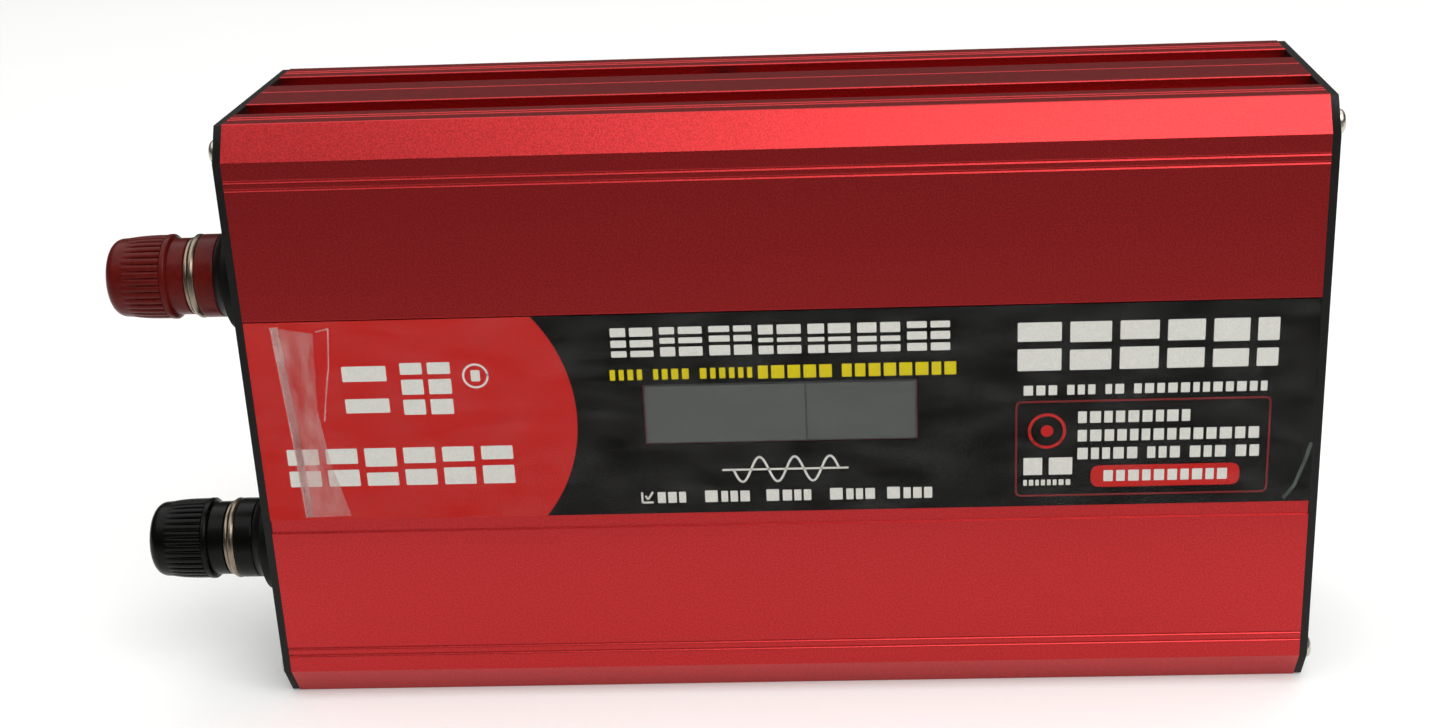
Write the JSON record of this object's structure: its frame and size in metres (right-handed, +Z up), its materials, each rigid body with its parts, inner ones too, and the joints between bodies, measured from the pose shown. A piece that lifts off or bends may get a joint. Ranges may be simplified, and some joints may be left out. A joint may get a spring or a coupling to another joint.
{
  "type": "power inverter",
  "caption": "Sine wave power inverter in a finned red extruded case, with a front display, red and black binding posts, a fan and a mains outlet.",
  "frame": {"origin": "mid-length, on the middle rib of the long finned side that the case stands on, at mid-depth of the whole case", "axes": "+X along the case towards the mains outlet, -Y out of the label face, +Z up across the broad faces"},
  "size_m": [0.2993, 0.072, 0.15],
  "materials": {
    "anodised_red": "fine blasted, anodised red",
    "plate_black": "black powder coat",
    "screw_steel": "nickel plated",
    "screw_dark": "black oxide",
    "label_print": "semi-gloss printed film",
    "clear_film": "clear protective film",
    "window_grey": "grey-green display glass",
    "board_green": "solder mask",
    "ribbon_grey": "flat cable",
    "fuse_orange": "moulded, clear tinted",
    "ferrite": "sintered ferrite",
    "winding": "enamelled copper and yellow tape",
    "choke_core": "painted powder core",
    "capacitor_sleeve": "shrink sleeve",
    "transistor_body": "moulded epoxy",
    "insulating_strip": "silicone pad",
    "clamp_metal": "mill finish",
    "stud_brass": "machined",
    "flange_black": "moulded nylon",
    "knob_red": "moulded",
    "knob_black": "moulded",
    "contact_metal": "nickel plated",
    "lug_copper": "tinned copper",
    "cable_red": "silicone cable",
    "cable_black": "silicone cable",
    "fan_plastic": "moulded",
    "socket_plastic": "moulded",
    "wire_brown": "insulated wire",
    "rocker_plastic": "moulded",
    "usb_metal": "stamped",
    "light_green": "clear tinted",
    "light_red": "clear tinted"
  },
  "bodies": {
    "case": {"front_shell": "anodised_red", "rear_shell": "anodised_red", "battery_end_plate": "plate_black", "mains_end_plate": "plate_black", "end_plate_screws": "screw_steel", "clamp_screws": "screw_dark", "front_label": "label_print", "protective_film": "clear_film", "display_window": "window_grey", "display_cell": "window_grey", "display_board": "board_green", "display_ribbon": "ribbon_grey", "main_board": "board_green", "driver_board": "board_green", "fuses": "fuse_orange", "transformer_core_left": "ferrite", "transformer_core_right": "ferrite", "transformer_winding_left": "winding", "transformer_winding_right": "winding", "output_choke_core": "choke_core", "output_choke_winding": "winding", "input_capacitor_1": "capacitor_sleeve", "input_capacitor_2": "capacitor_sleeve", "input_capacitor_3": "capacitor_sleeve", "bus_capacitor_1": "capacitor_sleeve", "bus_capacitor_2": "capacitor_sleeve", "input_transistors": "transistor_body", "output_transistors": "transistor_body", "input_insulator": "insulating_strip", "output_insulator": "insulating_strip", "input_clamp_bar": "clamp_metal", "output_clamp_bar": "clamp_metal", "red_post_stud": "stud_brass", "red_post_flange": "flange_black", "red_post_collar": "knob_red", "red_contact_ring": "contact_metal", "red_cable_lug": "lug_copper", "red_battery_cable": "cable_red", "black_post_stud": "stud_brass", "black_post_flange": "flange_black", "black_post_collar": "knob_black", "black_contact_ring": "contact_metal", "black_cable_lug": "lug_copper", "black_battery_cable": "cable_black", "post_nuts": "screw_steel", "post_inner_washers": "flange_black", "fan_frame": "fan_plastic", "fan_screws": "screw_steel", "mains_socket": "socket_plastic", "mains_wires": "wire_brown", "switch_frame": "socket_plastic", "usb_socket": "usb_metal", "power_light": "light_green", "fault_light": "light_red"},
    "red_washer": {"red_clamp_washer": "contact_metal"},
    "red_knob": {"red_knob": "knob_red"},
    "black_washer": {"black_clamp_washer": "contact_metal"},
    "black_knob": {"black_knob": "knob_black"},
    "impeller": {"fan_impeller": "fan_plastic"},
    "rocker": {"switch_rocker": "rocker_plastic"}
  },
  "joints": [
    {"name": "red_washer_slide", "type": "slide", "parent": "case", "child": "red_washer", "axis": [-1, 0, 0], "range_m": [0, 0.0075]},
    {"name": "red_knob_turn", "type": "hinge", "parent": "red_washer", "child": "red_knob", "pos_m": [-0.15, -0.0215, 0.11035], "axis": [-1, 0, 0], "range_deg": [0, 2160]},
    {"name": "black_washer_slide", "type": "slide", "parent": "case", "child": "black_washer", "axis": [-1, 0, 0], "range_m": [0, 0.0075]},
    {"name": "black_knob_turn", "type": "hinge", "parent": "black_washer", "child": "black_knob", "pos_m": [-0.15, -0.0215, 0.03965], "axis": [-1, 0, 0], "range_deg": [0, 2160]},
    {"name": "fan_spin", "type": "hinge", "parent": "case", "child": "impeller", "pos_m": [-0.12, 0.007, 0.075], "axis": [-1, 0, 0], "continuous": true},
    {"name": "switch_tilt", "type": "hinge", "parent": "case", "child": "rocker", "pos_m": [0.128, 0.012, 0.062], "axis": [0, -1, 0], "range_deg": [0, 20]}
  ],
  "couplings": [
    {"joint": "red_knob_turn", "follows": "red_washer_slide", "rad_per_m": 5026.5},
    {"joint": "black_knob_turn", "follows": "black_washer_slide", "rad_per_m": 5026.5}
  ]
}
